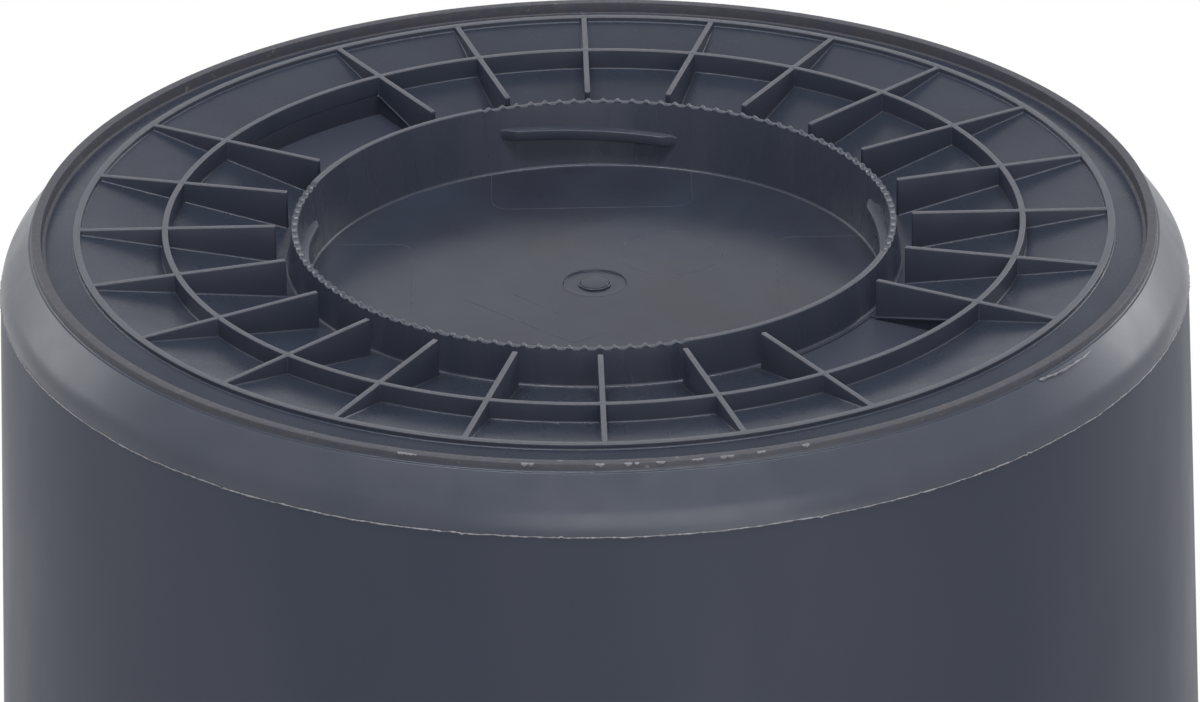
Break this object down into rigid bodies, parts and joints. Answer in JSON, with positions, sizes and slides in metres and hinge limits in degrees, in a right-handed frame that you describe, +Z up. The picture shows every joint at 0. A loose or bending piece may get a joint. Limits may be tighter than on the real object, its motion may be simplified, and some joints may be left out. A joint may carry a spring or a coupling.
{
  "type": "round trash can",
  "caption": "Round tapered open-top trash can with a rolled rim, pocket lift handles, a rounded base bumper, and a ribbed underside with a serrated lock ring.",
  "frame": {"origin": "centre of the ground face, on the can's axis", "axes": "+Z up through the mouth, X through the lift handles and the base hand grips"},
  "size_m": [0.584, 0.544, 0.692],
  "materials": {
    "can_plastic": "satin moulded plastic, dark blue-grey"
  },
  "bodies": {
    "root": {"foot_lip": "can_plastic", "base_bumper": "can_plastic", "side_wall": "can_plastic", "upper_band": "can_plastic", "top_rim": "can_plastic", "rim_webs": "can_plastic", "handle_right": "can_plastic", "handle_left": "can_plastic", "base_floor": "can_plastic", "hand_grip_right": "can_plastic", "hand_grip_left": "can_plastic", "outer_rib_ring": "can_plastic", "mid_rib_ring": "can_plastic", "lock_ring": "can_plastic", "hub_floor": "can_plastic", "lock_lug_1": "can_plastic", "lock_lug_2": "can_plastic", "lock_lug_3": "can_plastic", "lock_lug_4": "can_plastic", "base_rib_01": "can_plastic", "base_rib_02": "can_plastic", "base_rib_03": "can_plastic", "base_rib_04": "can_plastic", "base_rib_05": "can_plastic", "base_rib_06": "can_plastic", "base_rib_07": "can_plastic", "base_rib_08": "can_plastic", "base_rib_09": "can_plastic", "base_rib_10": "can_plastic", "base_rib_11": "can_plastic", "base_rib_12": "can_plastic", "base_rib_13": "can_plastic", "base_rib_14": "can_plastic", "base_rib_15": "can_plastic", "base_rib_16": "can_plastic", "base_rib_17": "can_plastic", "base_rib_18": "can_plastic", "base_rib_19": "can_plastic", "base_rib_20": "can_plastic", "base_rib_21": "can_plastic", "base_rib_22": "can_plastic"}
  },
  "joints": []
}
